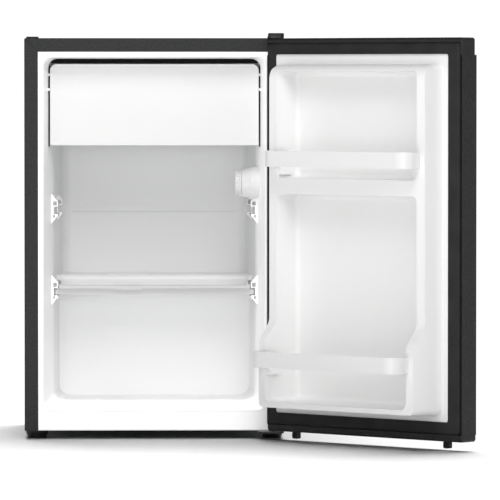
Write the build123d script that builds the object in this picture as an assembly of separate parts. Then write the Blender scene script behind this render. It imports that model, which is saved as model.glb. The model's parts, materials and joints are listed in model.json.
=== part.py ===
from build123d import *
import os
from math import cos, pi, radians, sin

# A small refrigerator with its door standing open. Millimetres, +Z up, +X to the right of
# someone facing it, +Y towards its back. The origin is on the floor, at the middle of the
# four feet.

# Driving dimensions of the cabinet
width = 445
depth = 400
floor_gap = 14.5  # the cabinet's underside above the floor
top = 686.5
sheet = 1.0
frame_width = 23.3  # the painted return around the front
plastic = 2.0  # wall of the liner and of the door's inner panel

half = width / 2
front = -depth / 2
back = depth / 2

# The liner's cavity, by distance behind the front plane
mouth_half, mouth_low, mouth_high = 189.5, 50.5, 653.6
mouth_bevel, bevel_depth = 1.4, 8
throat_depth, throat_half, throat_low, throat_high = 95, 174.5, 59.5, 649
rear_depth, rear_half, rear_low, rear_high = 330, 163, 62, 640
hump_depth, hump_top = 245, 273

# The machine room behind the hump
room_front = front + 276
room_top = 242

# The door: u runs from the hinge edge, h from its sealing face towards the cavity
door_low, door_high = 16, 686
door_thickness = 40.5
far_fold, hinge_fold = 2.8, 4  # outer radii of the skin's two folds
edge_h = -3.4  # where the skin's side returns and the end caps stop
cap_low, cap_high = 28, 657  # the steel skin lies between the two end caps
pivot_u, pivot_v = 10.5, 21
door_angle = 135.2
panel_u0, panel_u1, panel_z0, panel_z1 = 22.2, 415.8, 48.6, 658.5
dyke_u0, dyke_u1, dyke_z0, dyke_z1 = 42.5, 401, 58, 642
dyke_high, dyke_step_z0, dyke_step_z1, dyke_low = 65.5, 175, 205, 38
dyke_top = 17  # width of a dyke's top face
ledge_z0, ledge_z1 = 425, 447
gasket_u0, gasket_u1, gasket_z0, gasket_z1 = 3.5, 440, 27.5, 678
recess_floor = -12

# Shelf, flap and thermostat
shelf_low, shelf_high, shelf_half, shelf_rear_half = 245, 260.6, 170.4, 166.4
shelf_front, shelf_back = 70, 243.5
flap_half, flap_z0, flap_z1 = 179.3, 502.4, 642.5
flap_front, flap_thickness, flap_pivot_z = 44, 6, 624
knob_depth, knob_z, knob_radius, dial_radius, drum_radius = 73, 437.7, 20.5, 23.7, 27.5

# Hinges, feet and condenser
pin_radius, running_gap = 4, 0.05
foot_x, foot_y = 202, 160
coil_y, coil_radius = back + 15, 2.5

pivot_x, pivot_y = half - pivot_u, front - pivot_v


def block(x0, x1, y0, y1, z0, z1):
    """A box between two corners."""
    size = Box(x1 - x0, y1 - y0, z1 - z0)
    return Pos((x0 + x1) / 2, (y0 + y1) / 2, (z0 + z1) / 2) * size


def front_section(distance, half_width, low, high, radius):
    """A rounded rectangle across the cabinet, at a distance behind its front plane."""
    plane = Plane(origin=(0, front + distance, 0), x_dir=(1, 0, 0), z_dir=(0, -1, 0))
    outline = RectangleRounded(2 * half_width, high - low, radius)
    return plane * Pos(0, (low + high) / 2) * outline


def rod(start, end, radius):
    """A straight round bar between two points."""
    a, b = Vector(*start), Vector(*end)
    plane = Plane(origin=a, z_dir=b - a)
    return extrude(plane * Circle(radius), (b - a).length)


def disc(x, y, z0, z1, radius):
    """An upright round disc or shaft."""
    return Pos(x, y, (z0 + z1) / 2) * Cylinder(radius, z1 - z0)


def tube(points, radius, bend):
    """A bent tube: straight runs joined by tangent arcs."""
    path = FilletPolyline(*points, radius=bend)
    start = Plane(origin=path @ 0, z_dir=path % 0)
    return sweep(start * Circle(radius), path=path)


def both_sides(part):
    """A part and its mirror image in the cabinet's middle plane."""
    return [part, mirror(part, about=Plane.YZ)]


def top_edges(part, tolerance=0.01):
    """The edges at a part's highest level."""
    high = part.bounding_box().max.Z
    return part.edges().filter_by(lambda e: e.bounding_box().min.Z > high - tolerance)


# ---------------------------------------------------------------- cabinet


def cavity(grow):
    """The space inside the liner, or with grow the liner's outer skin."""
    mouth = front_section(0, mouth_half + grow, mouth_low - grow, mouth_high + grow, 15 + grow)
    throat = front_section(
        throat_depth, throat_half + grow, throat_low - grow, throat_high + grow, 18 + grow
    )
    rear = front_section(
        rear_depth + grow, rear_half + grow, rear_low - grow, rear_high + grow, 22 + grow
    )
    space = loft([mouth, throat], ruled=True) + loft([throat, rear], ruled=True)
    back_edges = space.edges().filter_by(
        lambda e: e.bounding_box().min.Y > front + rear_depth + grow - 0.1
    )
    space = fillet(back_edges, 16 + grow)
    hump = block(-half, half, front + hump_depth + grow, back, 0, hump_top - grow)
    hump = fillet(hump.edges().filter_by(Axis.X).group_by(Axis.Y)[0].group_by(Axis.Z)[-1:][0], 9)
    return space - hump


def wall_x(distance):
    """Half the cavity's width at a distance behind the front plane."""
    if distance < throat_depth:
        return mouth_half + (throat_half - mouth_half) * distance / throat_depth
    share = (distance - throat_depth) / (rear_depth - throat_depth)
    return throat_half + (rear_half - throat_half) * share


def mouth_groove():
    """A narrow groove in the flange, around the mouth."""
    rings = []
    for out in (2.2, 3.3):
        outline = front_section(
            0, mouth_half + out, mouth_low - out, mouth_high + out, 15 + out
        )
        rings.append(extrude(outline, -1.8))
    return rings[1] - rings[0]


def back_groove(grow):
    """A shallow groove across the back wall, or with grow the liner's skin behind it."""
    reach, low, high = 145, 380.6, 389.8
    y0, y1 = front + rear_depth - 3, front + rear_depth + 2 + grow
    groove = block(-reach - grow, reach + grow, y0, y1, low - grow, high + grow)
    return fillet(groove.edges().filter_by(Axis.X).group_by(Axis.Y)[-1], 1.5 + grow / 2)


def shelf_support(distance, length, z_mid):
    """A moulded lug on the left wall, with the slot that a shelf's edge slides in."""
    plane = Plane(origin=(0, front + distance, 0), x_dir=(1, 0, 0), z_dir=(0, -1, 0))
    surface = -wall_x(distance + length / 2)
    wall, tip = surface - 8, surface + 7.5
    low, high = z_mid - 15, z_mid + 9.5
    slant = 1.25  # rise of the sloping faces over their width
    outline = Polyline(
        (wall, low - slant * (tip - wall)), (tip, low), (tip, high),
        (wall, high + slant * (tip - wall)), close=True,
    )
    lug = extrude(plane * make_face(outline), -length)
    slot = block(surface + 0.4, 0, front, back, z_mid - 12.3, z_mid + 0.7)
    pocket = block(surface - 0.5, tip - 1.8, front, front + distance + 12, z_mid + 2.4, high)
    hollow = block(surface - 0.5, tip - 5, front, front + distance + 9, low - 3.5, z_mid - 13.5)
    return lug - slot - pocket - hollow


shelf_slot_z = 255.5
spare_slot_z = 396
support_places = [(76, 50), (192, 40)]


def liner():
    """The white inner liner, vacuum formed with its flange, hump and shelf supports."""
    flange = block(
        -half + frame_width + 0.2, half - frame_width - 0.2,
        front + 0.3, front + 0.3 + plastic, floor_gap + 1.3, top - frame_width - 0.2,
    )
    shell = cavity(plastic) + flange + back_groove(plastic)
    for distance, length in support_places:
        for z_mid in (shelf_slot_z, spare_slot_z):
            for lug in both_sides(shelf_support(distance, length, z_mid)):
                shell += lug & cavity(plastic)
    inside = cavity(0) + extrude(front_section(0, mouth_half, mouth_low, mouth_high, 15), 5)
    bevel = [
        front_section(distance, mouth_half + out, mouth_low - out, mouth_high + out, 15 + out)
        for distance, out in ((-0.1, mouth_bevel), (bevel_depth, -2))
    ]
    inside += loft(bevel, ruled=True) + mouth_groove()
    for distance, length in support_places:
        for z_mid in (shelf_slot_z, spare_slot_z):
            for lug in both_sides(shelf_support(distance, length, z_mid)):
                inside -= lug
    shell -= flap_pin_line(2)
    shell -= inside + back_groove(0)
    return shell - block(-half, half, front - 5, front + 0.3, 0, top)


def wrapper():
    """The folded outer sheet: left side, top, right side and the front return."""
    body = block(-half, half, front, back, floor_gap, top)
    body = fillet(body.edges().filter_by(Axis.Y).group_by(Axis.Z)[-1], 3)
    body = fillet(body.edges().group_by(Axis.Y)[0].filter_by(lambda e: e.center().Z > 20), 1.8)
    inside = block(
        -half + sheet, half - sheet, front + sheet, back + 1, floor_gap - 1, top - sheet
    )
    opening = block(
        -half + frame_width, half - frame_width,
        front - 1, front + 2 * sheet, floor_gap - 1, top - frame_width,
    )
    body = body - inside - opening
    seam_length = frame_width * 2**0.5 + 2
    for side in (-1, 1):
        seam = Box(seam_length, 1.4, 1.4)
        place = Pos(side * (half - frame_width / 2), front, top - frame_width / 2)
        body -= place * Rot(0, -45 * side, 0) * seam
    return body


def foam():
    """The rigid foam between the wrapper and the liner."""
    fill = block(
        -half + sheet, half - sheet, front + 2.4, back - sheet, floor_gap + sheet, top - sheet
    )
    room = block(-half, half, room_front - sheet, back + 1, 0, room_top + sheet)
    fill = fill - room - cavity(plastic + 0.05) - back_groove(plastic + 0.05)
    for x in (-foot_x, foot_x):
        fill -= disc(x, -foot_y, floor_gap, 46, 7.6)
    return fill


def panels():
    """The sheets that close the back, underside and machine room, and the rear screws."""
    inner = half - sheet - 0.2
    rear = block(-inner, inner, back - sheet, back, room_top + sheet, top - sheet - 0.2)
    bottom = block(-inner, inner, front + 2.6, room_front - sheet, floor_gap, floor_gap + sheet)
    screws = []
    for x in (-half + 12, half - 12):
        for z in (room_top + 20, (room_top + top) / 2, top - 20):
            rear -= rod((x, back - 2, z), (x, back + 1, z), 2.05)
            screws.append(Pos(x, back, z) * Rot(-90, 0, 0) * screw(4, 2.2, 0.9))
    for x in (-foot_x, foot_x):
        bottom -= disc(x, -foot_y, floor_gap - 1, floor_gap + 2, 5)
    wall = block(
        -inner, inner, room_front - sheet, room_front, floor_gap + 2.2, room_top + sheet
    )
    roof = block(-inner, inner, room_front, back, room_top, room_top + sheet)
    return rear, screws, bottom, wall + roof


def hinge_brackets():
    """The two hinge plates with their pins, for the door's pivots."""
    plate = block(194, 221, front - 32, front + 44, top, top + 3)
    plate = fillet(plate.edges().filter_by(Axis.Z), 6)
    for y in top_hinge_screw_y:
        plate -= disc(top_hinge_screw_x, y, top, top + 3, 2.6)
    top_plate = plate + disc(pivot_x, pivot_y, top - 18, top + 3, pin_radius)
    plate = block(178, 221, front - 32, front + 17, floor_gap - 3, floor_gap)
    plate = fillet(plate.edges().filter_by(Axis.Z), 6)
    for x in bottom_hinge_screw_x:
        plate -= disc(x, front + 9, floor_gap - 3, floor_gap, 2.4)
    bottom_plate = plate + disc(pivot_x, pivot_y, floor_gap - 3, floor_gap + 14, pin_radius)
    washer = disc(pivot_x, pivot_y, floor_gap, floor_gap + 1.3, 5.5)
    washer -= disc(pivot_x, pivot_y, floor_gap - 1, floor_gap + 3, pin_radius)
    return top_plate, bottom_plate, washer


def screw(radius, head_height, length):
    """A pan head screw standing on z = 0, with a cross recess."""
    head = Pos(0, 0, head_height / 2) * Cylinder(radius, head_height)
    head = fillet(top_edges(head), head_height * 0.45)
    for angle in (0, 90):
        head -= Pos(0, 0, head_height) * Rot(0, 0, angle) * Box(radius * 1.1, 0.9, 2)
    return head + Pos(0, 0, -length / 2) * Cylinder(radius * 0.5, length)


top_hinge_screw_x = 208
top_hinge_screw_y = (front + 10, front + 32)
bottom_hinge_screw_x = (186, 198)

# ---------------------------------------------------------------- cooling circuit

compressor_x, compressor_y, compressor_low = 62, 138.5, 34
leg_x, leg_y = 68, 38
discharge_z = compressor_low + 84


def compressor_parts():
    """The compressor's casing, its motor, rubber grommets, bolts and relay cover."""
    place = Pos(compressor_x, compressor_y, compressor_low)
    shell = extrude(Ellipse(76, 50), 126)
    shell = fillet(shell.edges().group_by(Axis.Z)[-1], 30)
    shell = fillet(shell.edges().group_by(Axis.Z)[0], 18)
    seam = Pos(0, 0, 62) * extrude(Ellipse(78, 52), 5)
    legs = Pos(0, 0, 1.5) * Box(2 * leg_x + 22, 2 * leg_y + 22, 3)
    legs = fillet(legs.edges().filter_by(Axis.Z), 10)
    stub = Pos(-60, 30, discharge_z - compressor_low) * Rot(0, -90, 0) * Cylinder(4, 24)
    corners = [(x, y) for x in (-leg_x, leg_x) for y in (-leg_y, leg_y)]
    for x, y in corners:
        legs -= disc(x, y, -1, 4, 6.2)
    chamber = Pos(0, 0, 4) * extrude(Ellipse(72, 46), 118)
    chamber = fillet(chamber.edges().group_by(Axis.Z)[-1], 28)
    chamber = fillet(chamber.edges().group_by(Axis.Z)[0], 15)
    motor = place * (disc(0, 0, 4, 26, 16) + disc(0, 0, 26, 92, 37))
    body = place * (shell + seam + legs + stub - chamber)
    floor = floor_gap + 2
    grommets, bolts = [], []
    for x, y in corners:
        at = Pos(compressor_x + x, compressor_y + y, 0)
        rubber = disc(0, 0, floor, compressor_low - 0.2, 10)
        rubber += disc(0, 0, floor, compressor_low + 6, 6)
        rubber += disc(0, 0, compressor_low + 3.2, compressor_low + 6, 9)
        grommets.append(at * (rubber - disc(0, 0, 0, 60, 3.3)))
        top_z = compressor_low + 6
        bolts.append(at * (disc(0, 0, floor, top_z, 3.1) + disc(0, 0, top_z, top_z + 4, 6)))
    relay = block(-40, -8, -24, 24, 0, 58)
    relay = fillet(relay.edges(), 5)
    relay = Pos(compressor_x - 76, compressor_y, compressor_low + 32) * relay
    relay -= body
    return body, motor, grommets, bolts, relay


def evaporation_tray():
    """The open tray that catches defrost water above the compressor."""
    tray = block(-32, 156, 92, 186, 178, 202)
    tray = fillet(tray.edges().filter_by(Axis.Z), 10)
    hollow = block(-30, 154, 94, 184, 180.5, 210)
    return tray - fillet(hollow.edges().filter_by(Axis.Z), 8)


coil_half, coil_low, coil_pitch, coil_rows = 180, 290, 40, 10


def coil_points():
    """The corners of the condenser's tube, back and forth up the back."""
    points = []
    for row in range(coil_rows):
        z = coil_low + row * coil_pitch
        ends = (-coil_half, coil_half) if row % 2 == 0 else (coil_half, -coil_half)
        points += [(ends[0], coil_y, z), (ends[1], coil_y, z)]
    return points


def condenser_wires():
    """The upright wires welded on both faces of the condenser tube."""
    wires = []
    low, high = coil_low - 14, coil_low + coil_pitch * (coil_rows - 1) + 14
    count = 27
    for i in range(count):
        x = -130 + 260 * i / (count - 1)
        for side in (-1, 1):
            y = coil_y + side * (coil_radius + 0.82)
            wires.append(rod((x, y, low), (x, y, high), 0.8))
    return wires


def condenser_brackets():
    """Four plates that hold the condenser off the rear panel, each with its screw."""
    brackets, screws = [], []
    for x in (-146, 146):
        for row in (1, 8):
            z = coil_low + row * coil_pitch
            clip = block(x - 8, x + 8, back, coil_y - coil_radius, z - 3, z + 3)
            foot = block(x - 8, x + 8, back, back + 1.5, z - 3, z + 22)
            hook = block(x - 8, x + 8, coil_y - 6, coil_y + 6, z - 6, z + 6)
            hook -= rod((x - 20, coil_y, z), (x + 20, coil_y, z), coil_radius + 0.05)
            hole = rod((x, back, z + 13), (x, back + 4, z + 13), 2.2)
            brackets.append(clip + foot + hook - hole)
            screws.append(
                Pos(x, back + 1.5, z + 13) * Rot(-90, 0, 0) * screw(4.2, 2.4, 1.2)
            )
    return brackets, screws


def refrigerant_tubes():
    """Discharge, liquid, capillary and suction tubes and the filter drier."""
    cx = compressor_x
    discharge = tube(
        [(cx - 72.3, compressor_y + 30, discharge_z), (cx - 96, compressor_y + 30, discharge_z),
         (cx - 96, 192, discharge_z), (-coil_half - 10, 192, discharge_z),
         (-coil_half - 10, coil_y, discharge_z),
         (-coil_half - 10, coil_y, coil_low), (-coil_half, coil_y, coil_low)],
        coil_radius, 8,
    )
    drier_x, drier_y = -96, 150
    drier = disc(drier_x, drier_y, 70, 170, 8)
    drier = fillet(drier.edges().filter_by(GeomType.CIRCLE), 5)
    drier += disc(drier_x, drier_y, 170, 184, 3.4)
    capillary = tube(
        [(drier_x, drier_y, 70), (drier_x, drier_y, 45), (drier_x - 50, drier_y, 45),
         (drier_x - 50, drier_y, 200), (drier_x - 50, room_front, 200)],
        1.2, 9,
    )
    suction = tube(
        [(cx + 40, compressor_y + 44, 120), (cx + 40, 194, 120), (cx + 130, 194, 120),
         (cx + 130, 194, 210), (cx + 130, room_front, 210)],
        3.5, 5.5,
    )
    return_x, return_z = -coil_half - 23, 222
    coil_top = coil_low + coil_pitch * (coil_rows - 1)
    liquid = tube(
        [(-coil_half, coil_y, coil_top), (return_x, coil_y, coil_top),
         (return_x, coil_y, return_z), (return_x, drier_y, return_z),
         (drier_x, drier_y, return_z), (drier_x, drier_y, 184)],
        coil_radius, 9,
    )
    return discharge, drier, capillary, suction, liquid


def evaporator():
    """The cold plate folded into the freezer box, hung from the liner on four posts."""
    x, y0, y1, z0, z1 = 150, front + 84, front + 296, 508, 634
    plate = 1.5
    box = block(-x, x, y0, y1, z0, z1)
    box = fillet(box.edges().filter_by(Axis.Y), 14)
    hollow = block(-x + plate, x - plate, y0 - 1, y1 + 1, z0 + plate, z1 - plate)
    box -= fillet(hollow.edges().filter_by(Axis.Y), 14 - plate)
    posts, screws = [], []
    for px in (-110, 110):
        for py in (y0 + 30, y1 - 30):
            box -= disc(px, py, z1 - 2, z1 + 1, 2.05)
            post = disc(px, py, z1, 660, 6) & cavity(0)
            posts.append(post - disc(px, py, z1 - 1, z1 + 5, 2.05))
            screws.append(Pos(px, py, z1 - plate) * Rot(180, 0, 0) * screw(4, 2.2, 5))
    return box, posts, screws


# ---------------------------------------------------------------- door


def door_plane(h):
    """The plane of the shut door's face at height h, with u and z as its directions."""
    return Plane(origin=(half, front + h, 0), x_dir=(-1, 0, 0), z_dir=(0, 1, 0))


def door_block(u0, u1, z0, z1, h0, h1, radius=0.0, taper=0.0):
    """A block on the shut door, with rounded upright corners and drafted sides."""
    outline = Rectangle(u1 - u0, z1 - z0)
    if radius:
        outline = RectangleRounded(u1 - u0, z1 - z0, radius)
    face = door_plane(h0) * Pos((u0 + u1) / 2, (z0 + z1) / 2) * outline
    return extrude(face, h1 - h0, taper=taper)


def side_profile(points, radii):
    """A prism across the whole door from (h, z) corners, some of them rounded."""
    plane = Plane(origin=(half + 5, front, 0), x_dir=(0, 1, 0), z_dir=(-1, 0, 0))
    outline = make_face(Polyline(*[(h, -z) for h, z in points], close=True))
    for (h, z), radius in radii.items():
        corner = outline.vertices().sort_by_distance((h, -z))[0]
        outline = fillet(corner, radius)
    return extrude(plane * outline, width + 10)


def dykes(inset):
    """The raised border of the inner panel, inset for its inner skin."""
    base = -3 - inset
    border = door_block(
        dyke_u0 + inset, dyke_u1 - inset, dyke_z0 + inset, dyke_z1 - inset,
        base, dyke_high - inset, radius=12 - inset, taper=3,
    )
    low, high = dyke_low - inset, dyke_high - inset
    step_low, step_high = dyke_step_z0 - inset / 2, dyke_step_z1 - inset / 2
    points = [
        (-40, 0), (high, 0), (high, step_low), (low, step_high),
        (low, dyke_z1 - inset), (-40, dyke_z1 - inset),
    ]
    radii = {
        (high, step_low): 22 - inset, (low, step_high): 22 + inset,
        (low, dyke_z1 - inset): 26 - inset,
    }
    return border & side_profile(points, radii)


def recess(z0, z1, top_h, grow):
    """One storage recess of the door, with drafted walls and a rounded floor."""
    u0, u1 = dyke_u0 + dyke_top - grow, dyke_u1 - dyke_top - 1 + grow
    floor = recess_floor - grow
    outline = RectangleRounded(u1 - u0, z1 - z0 + 2 * grow, 14)
    face = door_plane(top_h) * Pos((u0 + u1) / 2, (z0 + z1) / 2) * outline
    hollow = extrude(face, -(top_h - floor), taper=2.5)
    edges = hollow.edges().filter_by(lambda e: e.bounding_box().max.Y < front + floor + 0.1)
    return fillet(edges, 9)


def recesses(grow):
    """Both storage recesses."""
    upper = recess(ledge_z1, dyke_z1 - 9, dyke_high + 20, grow)
    lower = recess(dyke_z0 + 11, ledge_z0, dyke_high + 20, grow)
    return upper, lower


racks = [("upper_rack_bar", 469, 74, dyke_low), ("lower_rack_bar", 131, 103, dyke_high)]
rack_height, rack_wall = 27, 3


def panel_bosses():
    """Four small ledges inside the dykes that carry the hooks of the rack bars."""
    bosses = []
    for _, z, _, seat in racks:
        for u0, u1 in ((58, 70), (370, 386)):
            bosses.append(door_block(u0, u1, z - 14, z - 0.4, seat - 30, seat - 3))
    return bosses


def inner_panel():
    """The white formed panel inside the door."""
    slab = door_block(panel_u0, panel_u1, panel_z0, panel_z1, -34, -3, radius=4)
    solid = slab + dykes(0)
    for hollow in recesses(0):
        solid -= hollow
    core = door_block(panel_u0 - 1, panel_u1 + 1, panel_z0 - 1, panel_z1 + 1, -40, -3 - plastic)
    core += dykes(plastic)
    for hollow in recesses(plastic):
        core -= hollow
    panel = solid - core
    under = door_block(0, width, 0, 700, -40, recess_floor - plastic)
    panel -= under
    for boss in panel_bosses():
        panel += boss - (solid - door_block(0, width, 0, 700, -40, -3))
    return panel


def door_foam():
    """The foam between the door's skin, caps and inner panel."""
    fill = door_block(
        sheet + 0.2, width - sheet - 0.2, cap_low + 0.2, cap_high - 0.2,
        -door_thickness + sheet + 0.1, -10.5,
    )
    fill = fillet(fill.edges().filter_by(Axis.Z).group_by(Axis.Y)[0], 3)
    mid = door_block(
        panel_u0 + 4, panel_u1 - 4, panel_z0 + 4, panel_z1 - 4, -10.6, -3 - plastic
    )
    fill = fill + mid + dykes(plastic + 0.05)
    for hollow in recesses(plastic + 0.05):
        fill -= hollow
    return fill


def rack_bar(z, reach, seat):
    """A U-shaped rail that hooks into the dykes and keeps bottles in."""
    u0, u1 = 55.7, 388
    rail = door_block(u0, u1, z, z + rack_height, seat + 0.4, reach)
    corners = rail.edges().filter_by(Axis.Z).group_by(Axis.Y)[-1]
    rail = fillet(corners, 24)
    inside = door_block(
        u0 + rack_wall, u1 - rack_wall, z - 1, z + rack_height + 1, seat - 5, reach - rack_wall
    )
    corners = inside.edges().filter_by(Axis.Z).group_by(Axis.Y)[-1]
    rail -= fillet(corners, 24 - rack_wall)
    for a, b, c, d in ((u0, u0 + 13, u0 + 10, u0 + 13), (u1 - 16, u1, u1 - 16, u1 - 13)):
        rail += door_block(a, b, z, z + rack_height, seat + 0.4, seat + 4)
        rail += door_block(c, d, z, z + rack_height, seat - 20, seat + 4)
    return rail


def fold_corners(pan, far_radius, hinge_radius):
    """Round a shut pan's two upright outer corners, more at its hinge edge."""
    corners = pan.edges().filter_by(Axis.Z).group_by(Axis.Y)[0].sort_by(Axis.X)
    pan = fillet(corners[0], far_radius)
    corners = pan.edges().filter_by(Axis.Z).group_by(Axis.X)[-1].sort_by(Axis.Y)
    return fillet(corners[0], hinge_radius)


def door_skin():
    """The folded steel front of the door with its two side returns."""
    pan = door_block(0, width, cap_low, cap_high, -door_thickness, edge_h)
    inside = door_block(
        sheet, width - sheet, cap_low - 1, cap_high + 1, -door_thickness + sheet, 0
    )
    return fold_corners(pan, far_fold, hinge_fold) - fold_corners(
        inside, far_fold - sheet, hinge_fold - sheet
    )


def end_cap(z0, z1, set_back):
    """A plastic end of the door between the skin's folds, seating the gasket and panel."""
    cap = door_block(0.6, width - 0.6, z0, z1, -door_thickness + set_back, edge_h)
    cap = fillet(cap.edges().filter_by(Axis.Z), 2)
    far = z1 if z1 == door_high else z0
    rim = cap.edges().filter_by(Axis.X).filter_by(
        lambda e: abs(e.center().Z - far) < 0.1 and e.center().Y < front - 20
    )
    cap = fillet(rim, 4)
    seat = door_block(gasket_u0 - 0.2, gasket_u1 + 0.2, gasket_z0 - 0.2, gasket_z1 + 0.2, -10.2, 1)
    return cap - seat


def gasket():
    """The black magnetic seal around the door, with a rounded outer border."""
    outline = door_block(gasket_u0, gasket_u1, gasket_z0, gasket_z1, -10, -0.4, radius=6)
    outline = fillet(outline.faces().sort_by(Axis.Y)[-1].edges(), 5)
    outline -= door_block(
        panel_u0 - 0.2, panel_u1 + 0.2, panel_z0 - 0.2, panel_z1 + 0.2, -12, 2, radius=4.2
    )
    return outline


def magnets():
    """The four magnet strips inside the gasket."""
    h0, h1 = -9, -6
    strips = [door_block(u, u + 4, 44, 660, h0, h1) for u in (10, 428)]
    strips += [door_block(20, 420, z, z + 4, h0, h1) for z in (34, 667)]
    return strips


def door_parts():
    """Every piece of the door, shut, by name."""
    skin = door_skin()
    top_cap = end_cap(cap_high, door_high, 4.5)
    bottom_cap = end_cap(door_low, cap_low, 1.5)
    strips = magnets()
    seal = gasket()
    for strip in strips:
        seal -= strip
    top_bush = disc(pivot_x, pivot_y, door_high - 22, door_high, 8)
    top_bush -= disc(pivot_x, pivot_y, door_high - 20, door_high + 1, pin_radius + running_gap)
    low_bush = disc(pivot_x, pivot_y, door_low, door_low + 14, 8)
    low_bush -= disc(pivot_x, pivot_y, door_low - 1, door_low + 12.6, pin_radius + running_gap)
    for bush in (top_bush, low_bush):
        hole = bush.bounding_box()
        cut = disc(pivot_x, pivot_y, hole.min.Z, hole.max.Z, 8)
        top_cap -= cut
        bottom_cap -= cut
    tabs = []
    for u in (47, 392):
        tab = door_block(u, u + 13, door_low - 12, door_low, -24, -16)
        tabs.append(fillet(tab.edges().filter_by(Axis.Y), 3))
    fill = door_foam() - disc(pivot_x, pivot_y, door_low, door_low + 14.2, 8.2)
    pieces = {
        "door_skin": skin,
        "door_top_cap": top_cap,
        "door_bottom_cap": bottom_cap,
        "door_foam": fill,
        "door_inner_panel": inner_panel(),
        "door_gasket": seal,
        "gasket_magnets": strips,
        "door_hinge_bushes": [top_bush, low_bush],
        "door_stop_tabs": tabs,
    }
    for name, z, reach, seat in racks:
        pieces[name] = rack_bar(z, reach, seat)
    return pieces


def opened(part):
    """A piece of the shut door, turned to where the door stands."""
    axis = Axis((pivot_x, pivot_y, 0), (0, 0, 1))
    return part.rotate(axis, door_angle)


# ---------------------------------------------------------------- shelf, flap, thermostat


def shelf():
    """The glass shelf with its front and rear trims."""
    y0, y1 = front + shelf_front, front + shelf_back
    web_y = y0 + 9
    plan = make_face(Polyline(
        (-shelf_half, web_y), (shelf_half, web_y), (shelf_rear_half, y1), (-shelf_rear_half, y1),
        close=True,
    ))
    whole = Pos(0, 0, shelf_low) * extrude(plan, 8)
    glass = whole & block(-half, half, web_y + 3, y1 - 5, shelf_low + 2, shelf_low + 6)
    web = whole & block(-half, half, web_y, web_y + 9, shelf_low, shelf_low + 8)
    web += block(-164, 164, web_y, web_y + 3, shelf_low + 6, shelf_high - 3)
    bead = block(-165, 165, y0, web_y + 3, shelf_high - 5.6, shelf_high)
    bead = fillet(bead.edges().filter_by(Axis.X), 2)
    grip = block(-68, -22, y0 - 1.2, y0 + 2, shelf_high - 7, shelf_high - 1.6)
    bar = web + bead + fillet(grip.edges().filter_by(Axis.Y), 1.2)
    rear = whole & block(-half, half, y1 - 12, y1, shelf_low, shelf_low + 8)
    rear = fillet(rear.edges().filter_by(Axis.X), 1.2)
    return glass, bar - glass, rear - glass


def flap_pin_line(radius):
    """A bar along the flap's pivot axis, from wall to wall."""
    y = front + flap_front + flap_thickness / 2
    reach = flap_half + 4
    return rod((-reach, y, flap_pivot_z), (reach, y, flap_pivot_z), radius)


def flap():
    """The freezer's flap, which turns on two pins near its top."""
    y = front + flap_front
    plane = Plane(origin=(0, y, 0), x_dir=(1, 0, 0), z_dir=(0, -1, 0))
    outline = Rectangle(2 * flap_half, flap_z1 - flap_z0)
    face = plane * Pos(0, (flap_z0 + flap_z1) / 2) * outline
    body = extrude(face, -flap_thickness)
    body = fillet(body.edges().filter_by(Axis.Y).group_by(Axis.Z)[-1], 12)
    body = fillet(body.edges().filter_by(Axis.Y).group_by(Axis.Z)[0], 3)
    body = fillet(body.faces().sort_by(Axis.Y)[0].edges(), 1.4)
    middle = y + flap_thickness / 2
    lip = block(-60, 60, y + flap_thickness, y + flap_thickness + 8, flap_z0 + 4, flap_z0 + 7)
    body += lip
    pins = []
    for side in (-1, 1):
        tip, wall = side * (flap_half - 9), side * (flap_half + 3.6)
        bore_end = side * (flap_half + 1)
        body -= rod(
            (tip - side * 0.5, middle, flap_pivot_z), (bore_end, middle, flap_pivot_z),
            2 + running_gap,
        )
        pins.append(rod((tip, middle, flap_pivot_z), (wall, middle, flap_pivot_z), 2))
    return body, pins


def flap_frame():
    """The black strip around the flap's top and sides, set back in the gap beside it."""
    y0, y1 = front + flap_front + 3, front + flap_front + 12
    strip = block(-half, half, y0, y1, flap_z0 - 2, 660) & cavity(-0.05)
    strip -= block(-flap_half - 0.7, flap_half + 0.7, y0 - 1, y1 + 1, 0, flap_z1 + 1.1)
    pin_gap = block(-half, half, y0 - 1, y1 + 1, flap_pivot_z - 2.6, flap_pivot_z + 2.6)
    return strip - pin_gap


def flap_catches():
    """Two lugs on the liner's walls that the flap's edges spring past."""
    lugs = []
    y = front + flap_front
    for side in (-1, 1):
        inner, outer = side * (flap_half + 0.35), side * 190
        x0, x1 = min(inner, outer), max(inner, outer)
        lugs.append(block(x0, x1, y - 5, y - 1.2, 596.5, 600.7) & cavity(0))
    return lugs


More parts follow.
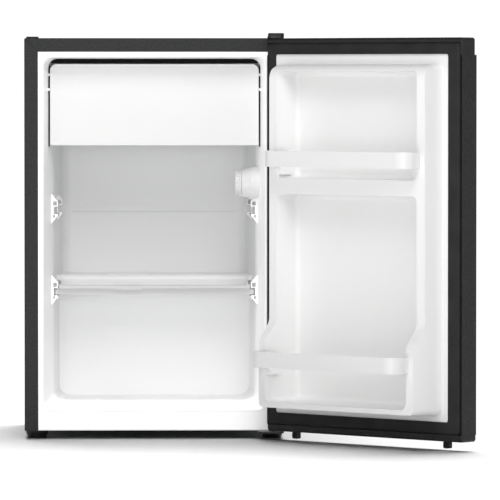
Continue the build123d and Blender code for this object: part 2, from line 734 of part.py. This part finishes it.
def thermostat():
    """The thermostat's drum housing, the switch inside it and the knob."""
    y = front + knob_depth
    face_x, step_x = 149.7, 166.5

    def along(x0, x1, radius):
        return rod((x0, y, knob_z), (x1, y, knob_z), radius)

    cone = Cone(dial_radius - 0.5, drum_radius - 0.5, step_x - face_x)
    housing = Pos((face_x + step_x) / 2, y, knob_z) * Rot(0, 90, 0) * cone
    housing += along(step_x, 195, drum_radius)
    pad = block(step_x, 182, y - drum_radius - 0.9, y, knob_z + 0.5, knob_z + 11)
    housing = (housing + fillet(pad.edges().filter_by(Axis.X), 0.6)) & cavity(-0.05)
    housing -= both_sides(shelf_support(*support_places[0], spare_slot_z))[1]
    housing -= along(face_x + 2.2, step_x + 2, dial_radius - 3)
    housing -= along(face_x - 1, face_x + 3, 3.6)
    switch = block(face_x + 3, step_x, y - 13, y + 13, knob_z - 11, knob_z + 11)
    shaft = along(142, face_x + 3.5, 3)
    knob_face = 139.2
    knob = along(knob_face, face_x - 4, knob_radius)
    knob = fillet(knob.edges().group_by(Axis.X)[0], 1.5)
    for i in range(24):
        angle = 2 * pi * i / 24
        groove_y = y + knob_radius * cos(angle)
        groove_z = knob_z + knob_radius * sin(angle)
        knob -= rod((knob_face - 1, groove_y, groove_z), (face_x, groove_y, groove_z), 0.9)
    dial = along(face_x - 4, face_x - 0.4, dial_radius)
    knob += fillet(dial.edges(), 1)
    knob -= block(knob_face - 1, knob_face + 1, y - 0.9, y + 0.9, knob_z + 3, knob_z + 30)
    knob -= along(141.8, face_x, 3 + running_gap)
    return housing, switch + shaft, knob


# ---------------------------------------------------------------- feet and small parts


def levelling_foot(x):
    """A threaded foot that screws into its nut to level the cabinet."""
    foot = Pos(x, -foot_y, 0) * Cone(15, 19, 10, align=(Align.CENTER, Align.CENTER, Align.MIN))
    foot += disc(x, -foot_y, 10, 12.5, 19)
    hexagon = Pos(x, -foot_y, 12.5) * extrude(RegularPolygon(9, 6), 1.6)
    return foot + hexagon + disc(x, -foot_y, 13, 42, 3.95)


def foot_nut(x):
    """The nut in the cabinet's underside that a levelling foot turns in."""
    nut = Pos(x, -foot_y, floor_gap + sheet) * extrude(RegularPolygon(7.4, 6), 9)
    return nut - disc(x, -foot_y, 10, 40, 4)


def hinge_cap():
    """The moulded cover over the top hinge's pin."""
    cap = block(194, 221, front - 32, front - 8, top + 3, top + 8.5)
    cap = fillet(cap.edges().filter_by(Axis.Z), 5)
    return fillet(top_edges(cap), 1.8)


def hole_plug():
    """The plug in the spare hinge holes at the top left."""
    plug = block(-half + 3.2, -half + 24.4, front + 4, front + 26, top, top + 2.6)
    plug = fillet(plug.edges().filter_by(Axis.Z), 4)
    return fillet(top_edges(plug), 1.6)


def base_plate():
    """The steel plate that carries the compressor, with a folded lip at the back."""
    inner = half - sheet - 0.2
    plate = block(-inner, inner, room_front, back, floor_gap, floor_gap + 2)
    lip = block(-inner, inner, back - 2, back, floor_gap, floor_gap + 16)
    tab = block(-170, -130, back - 2, back, floor_gap, 62)
    tab = fillet(tab.edges().filter_by(Axis.Y).group_by(Axis.Z)[-1], 6)
    plate = plate + lip + tab
    return plate - rod((-150, back - 6, 46), (-150, back + 4, 46), 7)


def cord_gland():
    """The strain relief that a mains cord would pass through."""
    collar = rod((-150, back - 7, 46), (-150, back, 46), 6.9)
    collar += rod((-150, back, 46), (-150, back + 4, 46), 11)
    nose = Pos(-150, back + 4, 46) * Rot(-90, 0, 0) * Cone(
        8, 6, 16, align=(Align.CENTER, Align.CENTER, Align.MIN)
    )
    return collar + nose - rod((-150, back - 10, 46), (-150, back + 14, 46), 3.6)


def write(name, shape):
    """Write one named piece, or a group of separate solids, to its STEP file."""
    solids = shape if isinstance(shape, list) else [shape]
    found = [s for part in solids for s in part.solids()]
    result = found[0] if len(found) == 1 else Compound(children=found)
    result.label = name
    export_step(result, f"parts/{name}.step")


def main():
    os.makedirs("parts", exist_ok=True)
    nodes = {}
    nodes["cabinet_wrapper"] = wrapper()
    nodes["inner_liner"] = liner()
    nodes["cabinet_foam"] = foam()
    rear, rear_screws, bottom, room = panels()
    nodes["rear_panel"] = rear
    nodes["rear_panel_screws"] = rear_screws
    nodes["bottom_panel"] = bottom
    nodes["machine_room_panel"] = room
    top_plate, bottom_plate, washer = hinge_brackets()
    nodes["top_hinge_bracket"] = top_plate
    nodes["bottom_hinge_bracket"] = bottom_plate
    nodes["bottom_hinge_washer"] = washer
    nodes["top_hinge_screws"] = [
        Pos(top_hinge_screw_x, y, top + 3) * screw(5, 3, 2.5) for y in top_hinge_screw_y
    ]
    nodes["bottom_hinge_screws"] = [
        Pos(x, front + 9, floor_gap - 3) * Rot(180, 0, 0) * screw(4.5, 2.6, 2.5)
        for x in bottom_hinge_screw_x
    ]
    nodes["top_hinge_cap"] = hinge_cap()
    nodes["hinge_hole_plug"] = hole_plug()
    body, motor, grommets, bolts, relay = compressor_parts()
    nodes["compressor_casing"] = body
    nodes["compressor_motor"] = motor
    nodes["compressor_grommets"] = grommets
    nodes["compressor_bolts"] = bolts
    nodes["start_relay_cover"] = relay
    nodes["evaporation_tray"] = evaporation_tray()
    nodes["compressor_base_plate"] = base_plate()
    nodes["condenser_coil"] = tube(coil_points(), coil_radius, coil_pitch / 2 - 0.01)
    nodes["condenser_wires"] = condenser_wires()
    brackets, screws = condenser_brackets()
    nodes["condenser_brackets"] = brackets
    nodes["condenser_screws"] = screws
    discharge, drier, capillary, suction, liquid = refrigerant_tubes()
    nodes["discharge_tube"] = discharge
    nodes["filter_drier"] = drier
    nodes["capillary_tube"] = capillary
    nodes["suction_tube"] = suction
    nodes["liquid_tube"] = liquid
    plate, posts, screws = evaporator()
    nodes["evaporator"] = plate
    nodes["evaporator_posts"] = posts
    nodes["evaporator_screws"] = screws
    glass, front_trim, rear_trim = shelf()
    nodes["shelf_glass"] = glass
    nodes["shelf_front_trim"] = front_trim
    nodes["shelf_rear_trim"] = rear_trim
    flap_body, flap_pins = flap()
    nodes["freezer_flap"] = flap_body
    nodes["flap_pivot_pins"] = flap_pins
    nodes["flap_frame"] = flap_frame()
    nodes["flap_catches"] = flap_catches()
    housing, switch, knob = thermostat()
    nodes["thermostat_housing"] = housing
    nodes["thermostat_switch"] = switch
    nodes["thermostat_knob"] = knob
    nodes["front_foot_left"] = levelling_foot(-foot_x)
    nodes["front_foot_right"] = levelling_foot(foot_x)
    nodes["foot_nuts"] = [foot_nut(x) for x in (-foot_x, foot_x)]
    nodes["rear_feet"] = [disc(x, foot_y, 0, floor_gap, 15) for x in (-190, 190)]
    nodes["cord_gland"] = cord_gland()
    for name, piece in door_parts().items():
        pieces = piece if isinstance(piece, list) else [piece]
        nodes[name] = [opened(p) for p in pieces]
    for name, shape in nodes.items():
        write(name, shape)


main()
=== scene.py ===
import json
from math import cos, radians, sin

import bpy
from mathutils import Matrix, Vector


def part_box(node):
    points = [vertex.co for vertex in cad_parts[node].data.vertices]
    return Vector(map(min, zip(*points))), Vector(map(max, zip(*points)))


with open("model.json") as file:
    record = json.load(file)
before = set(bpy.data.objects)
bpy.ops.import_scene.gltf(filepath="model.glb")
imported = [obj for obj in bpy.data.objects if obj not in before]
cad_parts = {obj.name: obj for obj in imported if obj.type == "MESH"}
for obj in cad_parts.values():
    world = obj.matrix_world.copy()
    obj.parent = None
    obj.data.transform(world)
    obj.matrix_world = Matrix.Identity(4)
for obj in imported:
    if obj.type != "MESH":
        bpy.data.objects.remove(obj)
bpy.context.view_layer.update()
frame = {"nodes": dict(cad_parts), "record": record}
nodes = frame["nodes"]
record = frame["record"]

# The cabinet's front plane, its middle and its top, from the frame.
body_low, body_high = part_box("cabinet_wrapper")
front_y = body_low.y
top_z = body_high.z

# Where the camera stands, in metres from the front plane and above the floor, what it
# looks at, and how long its lens is.
camera_distance, camera_height = 9.3, 0.632
camera_target = Vector((0.1635, front_y, 0.324))
focal_length, sensor_width = 391.4, 36
camera_reach = 100

# The studio: how far its floor goes, how white it is, how bright the surround is to the
# eye and as a light.
floor_reach = 400
floor_tone, floor_roughness, floor_gloss = 0.92, 0.6, 0.2
surround_seen, surround_light = 1.05, 0.06
white = (1, 1, 1, 1)


# ------------------------------------------------------------------ camera and studio


def make_camera():
    """A long lens in front of the cabinet's middle, a little below its top edge."""
    data = bpy.data.cameras.new("camera")
    data.lens, data.sensor_width = focal_length, sensor_width
    data.clip_end = camera_reach
    camera = bpy.data.objects.new("camera", data)
    camera.location = (0, front_y - camera_distance, camera_height)
    away = camera_target - camera.location
    camera.rotation_mode = "QUATERNION"
    camera.rotation_quaternion = away.to_track_quat("-Z", "Y")
    bpy.context.scene.collection.objects.link(camera)
    bpy.context.scene.camera = camera


def gather(name, pieces):
    """A collection of pieces that a light shines on, or is stopped by."""
    group = bpy.data.collections.new(name)
    for piece in pieces:
        group.objects.link(piece)
    return group


def place_light(name, data, only=(), stopped_by=()):
    """A light, which may shine on some pieces only and be stopped by some only."""
    light = bpy.data.objects.new(name, data)
    light.rotation_mode = "QUATERNION"
    bpy.context.scene.collection.objects.link(light)
    if only:
        light.light_linking.receiver_collection = gather("lit_by_" + name, only)
    if stopped_by:
        light.light_linking.blocker_collection = gather("stops_" + name, stopped_by)
    return light


def sun_light(name, azimuth, elevation, spread, strength, **links):
    """A broad, far light; azimuth 0 is in front of the cabinet, positive to its right."""
    data = bpy.data.lights.new(name, "SUN")
    data.energy, data.angle = strength, radians(spread)
    light = place_light(name, data, **links)
    a, e = radians(azimuth), radians(elevation)
    toward = Vector((sin(a) * cos(e), -cos(a) * cos(e), sin(e)))
    light.rotation_quaternion = toward.to_track_quat("Z", "Y")


def soft_box(name, distance, height, size, power, only=()):
    """A square soft box in front of the cabinet, aimed at its middle."""
    data = bpy.data.lights.new(name, "AREA")
    data.energy, data.size = power, size
    light = place_light(name, data, only)
    light.location = (0, front_y - distance, height)
    away = Vector((0, 0, top_z / 2)) - light.location
    light.rotation_quaternion = away.to_track_quat("-Z", "Y")


def make_floor():
    """A white floor that reaches far enough to meet the white surround."""
    mesh = bpy.data.meshes.new("floor")
    far = floor_reach
    corners = [(-far, -far, 0), (far, -far, 0), (far, far, 0), (-far, far, 0)]
    mesh.from_pydata(corners, [], [(0, 1, 2, 3)])
    floor = bpy.data.objects.new("floor", mesh)
    bpy.context.scene.collection.objects.link(floor)
    made = bpy.data.materials.new("studio_floor")
    made.use_nodes = True
    shader = made.node_tree.nodes["Principled BSDF"]
    shader.inputs["Base Color"].default_value = (floor_tone, floor_tone, floor_tone, 1)
    shader.inputs["Roughness"].default_value = floor_roughness
    shader.inputs["Specular IOR Level"].default_value = floor_gloss
    mesh.materials.append(made)
    return floor


def make_surround():
    """A surround that looks white and gives only a little light."""
    world = bpy.data.worlds.new("studio")
    world.use_nodes = True
    tree = world.node_tree
    soft_light = tree.nodes["Background"]
    backdrop = tree.nodes.new("ShaderNodeBackground")
    for shader, strength in ((soft_light, surround_light), (backdrop, surround_seen)):
        shader.inputs["Color"].default_value = white
        shader.inputs["Strength"].default_value = strength
    path = tree.nodes.new("ShaderNodeLightPath")
    mix = tree.nodes.new("ShaderNodeMixShader")
    tree.links.new(path.outputs["Is Camera Ray"], mix.inputs["Fac"])
    tree.links.new(soft_light.outputs["Background"], mix.inputs[1])
    tree.links.new(backdrop.outputs["Background"], mix.inputs[2])
    tree.links.new(mix.outputs["Shader"], tree.nodes["World Output"].inputs["Surface"])
    bpy.context.scene.world = world
    bpy.context.scene.view_settings.view_transform = "Standard"


def make_lights(floor):
    """Far lights for the whole, the liner and the door's inner panel, and two soft boxes."""
    whole = list(nodes.values())
    lined = [nodes[n] for n in ("inner_liner", "flap_catches", "evaporator", "shelf_glass")]
    shelf = [nodes[n] for n in ("shelf_glass", "shelf_front_trim", "shelf_rear_trim")]
    shell = [nodes[n] for n in ("cabinet_wrapper", "inner_liner", "freezer_flap", "flap_frame")]
    inside = {"only": lined, "stopped_by": shell + shelf}
    panel = {"only": [nodes["door_inner_panel"]]}
    for name, azimuth, elevation, spread, strength, links in (
        ("left_light", -40, 30, 30, 0.23, {"only": whole}),
        ("front_light", 10, 30, 30, 0.34, {"only": whole}),
        ("right_light", 35, 30, 30, 0.09, {"only": whole}),
        ("floor_light", 170, 66, 44, 3.95, {"only": [floor]}),
        ("rear_light", 160, 35, 40, 1.2, {"only": whole}),
        ("liner_front", 0, 30, 24, 0.48, {"only": lined}),
        ("liner_left", -76, 0, 8, 0.6, inside),
        ("liner_right", 76, 0, 8, 0.3, inside),
        ("liner_top", 0, 74, 10, 1.7, inside),
        ("panel_left", -50, 20, 24, 0.1, panel),
        ("panel_right", 30, 20, 24, 0.45, panel),
    ):
        sun_light(name, azimuth, elevation, spread, strength, **links)
    soft_box("low_box", distance=2.0, height=0.35, size=0.8, power=6.2, only=whole)
    soft_box("high_box", distance=1.4, height=2.0, size=0.8, power=15.3)


make_camera()
make_surround()
make_lights(make_floor())


# ------------------------------------------------------------------ materials


class Surface:
    """A node material under construction, in object coordinates (metres)."""

    def __init__(self, name):
        self.material = bpy.data.materials.new(name)
        self.material.use_nodes = True
        self.tree = self.material.node_tree
        self.shader = self.tree.nodes["Principled BSDF"]
        self.place = self.add("ShaderNodeTexCoord").outputs["Object"]

    def add(self, kind, **values):
        """A new node of a kind, with its properties set."""
        node = self.tree.nodes.new(kind)
        for key, value in values.items():
            setattr(node, key, value)
        return node

    def link(self, source, target):
        self.tree.links.new(source, target)

    def set(self, **values):
        """Constants on the shader, with spaces in place of underscores."""
        for key, value in values.items():
            self.shader.inputs[key.replace("_", " ")].default_value = value

    def noise(self, scale, detail=2.0, rough=0.5, stretch=None):
        """Noise of a size in features per metre."""
        node = self.add("ShaderNodeTexNoise")
        node.inputs["Scale"].default_value = scale
        node.inputs["Detail"].default_value = detail
        node.inputs["Roughness"].default_value = rough
        place = self.place
        if stretch:
            mapping = self.add("ShaderNodeMapping")
            mapping.inputs["Scale"].default_value = stretch
            self.link(place, mapping.inputs["Vector"])
            place = mapping.outputs["Vector"]
        self.link(place, node.inputs["Vector"])
        return node.outputs["Fac"]

    def cells(self, scale, feature="F1"):
        """Voronoi cells of a size in features per metre."""
        node = self.add("ShaderNodeTexVoronoi", feature=feature)
        node.inputs["Scale"].default_value = scale
        self.link(self.place, node.inputs["Vector"])
        return node.outputs["Distance"]

    def spread(self, source, low, high, start=0.3, end=0.7):
        """The source's start to end mapped to low to high."""
        node = self.add("ShaderNodeMapRange")
        for key, value in (
            ("From Min", start), ("From Max", end), ("To Min", low), ("To Max", high),
        ):
            node.inputs[key].default_value = value
        self.link(source, node.inputs["Value"])
        return node.outputs["Result"]

    def colours(self, source, dark, light, start=0.3, end=0.7):
        """A colour between two, by the source."""
        node = self.add("ShaderNodeMix", data_type="RGBA")
        self.link(self.spread(source, 0, 1, start, end), node.inputs["Factor"])
        node.inputs["A"].default_value = (*dark, 1)
        node.inputs["B"].default_value = (*light, 1)
        self.link(node.outputs["Result"], self.shader.inputs["Base Color"])

    def bump(self, source, height, strength, under=None):
        """Relief of a height in metres, over another bump or alone."""
        node = self.add("ShaderNodeBump")
        node.inputs["Distance"].default_value = height
        node.inputs["Strength"].default_value = strength
        self.link(source, node.inputs["Height"])
        if under is not None:
            self.link(under, node.inputs["Normal"])
        self.link(node.outputs["Normal"], self.shader.inputs["Normal"])
        return node.outputs["Normal"]

    def rough(self, source, low, high, start=0.3, end=0.7):
        """A roughness between two, by the source."""
        self.link(self.spread(source, low, high, start, end), self.shader.inputs["Roughness"])


def black_textured_paint():
    """Pebbled powder coat, its tone varying at random in small patches."""
    s = Surface("black_textured_paint")
    pebble = s.cells(620, "SMOOTH_F1")
    fine = s.noise(1500, 2)
    s.colours(s.noise(260, 3), (0.012, 0.0125, 0.0135), (0.026, 0.0265, 0.028))
    s.rough(s.noise(420, 2), 0.4, 0.56)
    relief = s.bump(pebble, 0.0005, 0.55)
    s.bump(fine, 0.00012, 0.5, relief)
    s.set(Specular_IOR_Level=0.3)
    return s.material


def black_paint():
    """Smooth enamel: rear panel, hinge brackets, compressor and condenser."""
    s = Surface("black_paint")
    s.colours(s.noise(40, 4), (0.012, 0.012, 0.013), (0.022, 0.022, 0.023))
    s.rough(s.noise(90, 3), 0.3, 0.42)
    s.bump(s.noise(500, 2), 0.00006, 0.5)
    return s.material


def white_plastic(name="white_plastic", tone=0.92, rough=(0.34, 0.38), grain=0.00001):
    """Satin polystyrene: an even white with a faint orange peel."""
    s = Surface(name)
    lighter = tone + 0.012
    s.colours(s.noise(6, 3), (tone, tone, tone - 0.003), (lighter, lighter, tone + 0.01))
    s.rough(s.noise(60, 4), *rough)
    soft = s.bump(s.noise(9, 1), 0.00005, 0.1)
    s.bump(s.noise(420, 2), grain, 0.5, soft)
    s.set(Specular_IOR_Level=0.4)
    return s.material


def white_moulded():
    """The racks, flap and thermostat: a little greyer and glossier than the liner."""
    return white_plastic("white_moulded", 0.79, (0.29, 0.32), 0.000006)


def white_trim_painted_shade():
    """The shelf's trims: the white made greyer again than the racks' white, as painted shade
    for the shade the trims sit in.
    """
    return white_plastic("white_trim_painted_shade", 0.66)


def white_panel():
    """The door's inner panel, formed from a slightly greyer sheet."""
    return white_plastic("white_panel", 0.82)


def black_plastic():
    """Fine-grained moulded caps, feet, tray and cover."""
    s = Surface("black_plastic")
    s.colours(s.noise(120, 3), (0.011, 0.011, 0.012), (0.018, 0.018, 0.019))
    s.rough(s.noise(200, 2), 0.42, 0.55)
    s.bump(s.noise(1800, 3), 0.00008, 0.6)
    s.set(Specular_IOR_Level=0.35)
    return s.material


def black_matt_painted_shade():
    """The flap's surround: a near-black, dull black with no gloss, so that it paints shade into
    the gap round the flap.
    """
    s = Surface("black_matt_painted_shade")
    s.colours(s.noise(150, 3), (0.003, 0.003, 0.0032), (0.006, 0.006, 0.0063))
    s.rough(s.noise(300, 2), 0.8, 0.95)
    s.bump(s.noise(900, 2), 0.00005, 0.5)
    s.set(Specular_IOR_Level=0.15)
    return s.material


def black_rubber():
    """Dull and soft: the gasket and the compressor's grommets."""
    s = Surface("black_rubber")
    s.colours(s.noise(30, 4), (0.01, 0.01, 0.0105), (0.02, 0.02, 0.021))
    s.rough(s.noise(60, 3), 0.6, 0.75)
    s.bump(s.noise(700, 3), 0.00006, 0.5)
    s.set(Specular_IOR_Level=0.3)
    return s.material


def insulation_foam():
    """Yellowish polyurethane with open cells."""
    s = Surface("insulation_foam")
    s.colours(s.noise(90, 5), (0.72, 0.6, 0.38), (0.84, 0.75, 0.53))
    s.set(Roughness=0.95)
    s.bump(s.cells(700), 0.0006, 0.8)
    return s.material


def galvanised_steel():
    """Zinc with its spangle, in both tone and gloss."""
    s = Surface("galvanised_steel")
    s.colours(s.cells(110), (0.44, 0.45, 0.46), (0.62, 0.63, 0.64), 0.1, 0.6)
    s.rough(s.cells(110), 0.32, 0.5, 0.1, 0.6)
    s.bump(s.noise(350, 3), 0.00004, 0.4)
    s.set(Metallic=1.0)
    return s.material


def bright_steel():
    """Plated screws, nuts and washer."""
    s = Surface("bright_steel")
    s.colours(s.noise(300, 3), (0.6, 0.6, 0.61), (0.74, 0.74, 0.75))
    s.rough(s.noise(700, 2, stretch=(1, 1, 8)), 0.18, 0.32)
    s.bump(s.noise(900, 2), 0.00003, 0.4)
    s.set(Metallic=1.0)
    return s.material


def copper():
    """Drawn tube, tarnished in patches."""
    s = Surface("copper")
    s.colours(s.noise(60, 5), (0.42, 0.19, 0.1), (0.72, 0.38, 0.24))
    s.rough(s.noise(120, 4), 0.25, 0.45)
    s.bump(s.noise(800, 2), 0.00003, 0.4)
    s.set(Metallic=1.0)
    return s.material


def aluminium_plate():
    """Rolled sheet, drawn out along its rolling direction."""
    s = Surface("aluminium_plate")
    s.colours(s.noise(25, 4), (0.66, 0.67, 0.68), (0.78, 0.79, 0.8))
    s.rough(s.noise(400, 3, stretch=(1, 14, 1)), 0.3, 0.45)
    s.bump(s.noise(260, 2, stretch=(1, 10, 1)), 0.00004, 0.4)
    s.set(Metallic=1.0)
    return s.material


def clear_glass():
    """Float glass, faintly green."""
    s = Surface("clear_glass")
    s.colours(s.noise(10, 2), (0.93, 0.975, 0.96), (0.95, 0.985, 0.975))
    s.rough(s.noise(30, 3), 0.0, 0.03)
    s.set(IOR=1.52, Transmission_Weight=1.0)
    return s.material


makers = [
    black_textured_paint, black_paint, white_plastic, white_moulded, white_trim_painted_shade, white_panel,
    black_plastic, black_matt_painted_shade, black_rubber, insulation_foam, galvanised_steel,
    bright_steel, copper, aluminium_plate, clear_glass,
]
finish_of = {maker.__name__: maker() for maker in makers}


def dress(piece, name):
    """Give a piece one finish."""
    piece.data.materials.clear()
    piece.data.materials.append(finish_of[name])


# Nodes whose finish is finer than their material slot says.
special = {
    "white_moulded": (
        "freezer_flap", "thermostat_housing", "thermostat_knob", "upper_rack_bar",
        "lower_rack_bar",
    ),
    # The shelf's trims take the greyer white, which is painted shade.
    "white_trim_painted_shade": ("shelf_front_trim", "shelf_rear_trim"),
    "white_panel": ("door_inner_panel",),
    # The flap's surround takes a near-black that paints the shade in the flap's gap.
    "black_matt_painted_shade": ("flap_frame",),
}
for part in record["subparts"]:
    name = part["node"]
    finish = [key for key, members in special.items() if name in members]
    dress(nodes[name], finish[0] if finish else part["material_slot"])
